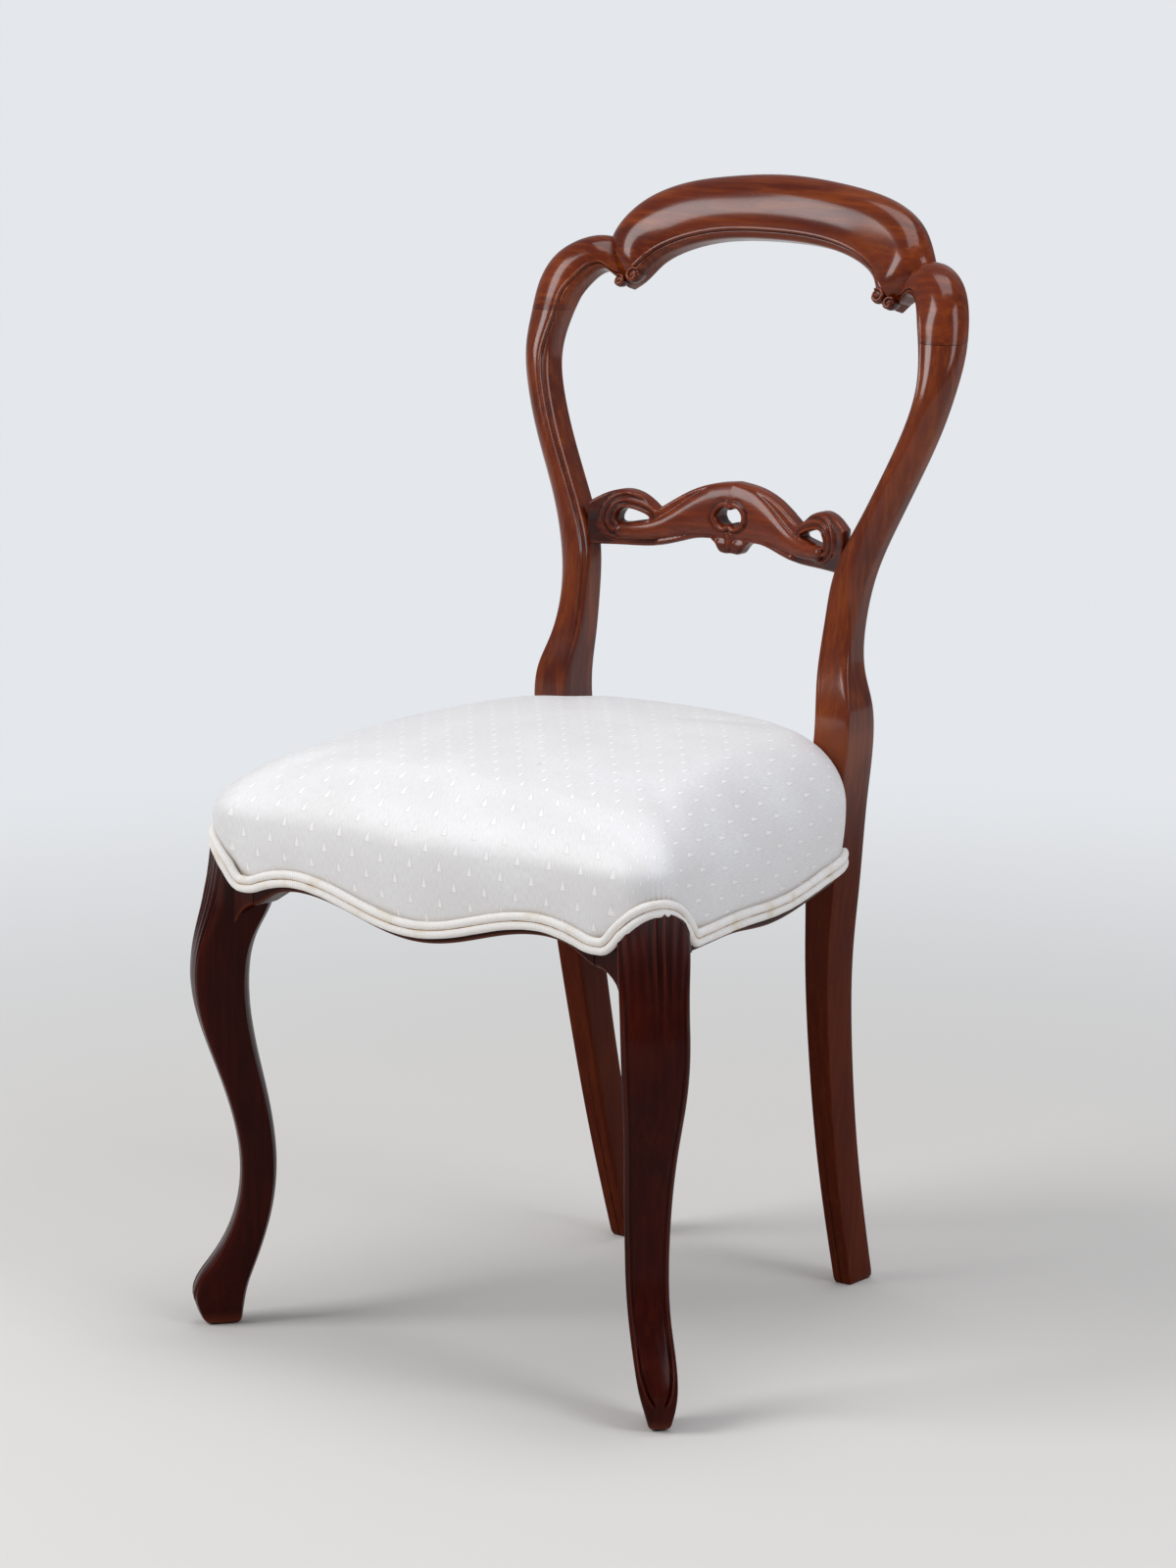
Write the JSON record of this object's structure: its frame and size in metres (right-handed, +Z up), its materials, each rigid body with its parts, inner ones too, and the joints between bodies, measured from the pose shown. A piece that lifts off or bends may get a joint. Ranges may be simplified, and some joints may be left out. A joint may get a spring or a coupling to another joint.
{
  "type": "balloon back dining chair",
  "caption": "upholstered dining chair with a dished balloon back, carved and pierced mid rail, cabriole front legs, raked square back legs and a padded seat edged with double piping",
  "frame": {"origin": "on the floor, below the middle of the chair's bounding box", "axes": "+Z up, -Y to the front of the seat, +X to the right as seen by someone facing the chair's front"},
  "size_m": [0.4846, 0.499, 0.8859],
  "materials": {
    "back_wood": "french polished mahogany, warm red-brown",
    "leg_wood": "dark stained and polished mahogany",
    "rail_wood": "polished lip, plain inside",
    "block_wood": "unpolished beech",
    "dowel_wood": "unpolished beech",
    "screw_steel": "dulled countersunk screws",
    "webbing": "jute webbing",
    "hessian": "coarse hessian",
    "stuffing": "hair and wadding stuffing",
    "cover": "ivory satin with small woven motifs",
    "piping": "ivory covered cord"
  },
  "bodies": {
    "root": {"crest_rail": "back_wood", "mid_rail": "back_wood", "back_leg_left": "back_wood", "back_leg_right": "back_wood", "front_leg_left": "leg_wood", "front_leg_right": "leg_wood", "seat_rail_front": "rail_wood", "seat_rail_left": "rail_wood", "seat_rail_right": "rail_wood", "seat_rail_back": "rail_wood", "corner_block_front_left": "block_wood", "corner_block_front_right": "block_wood", "corner_block_back_left": "block_wood", "corner_block_back_right": "block_wood", "corner_block_screws": "screw_steel", "crest_dowels": "dowel_wood", "rail_dowels": "dowel_wood", "webbing_lengthwise": "webbing", "webbing_crosswise": "webbing", "hessian": "hessian", "seat_pad": "stuffing", "seat_cover": "cover", "piping_upper": "piping", "piping_lower": "piping"}
  },
  "joints": []
}
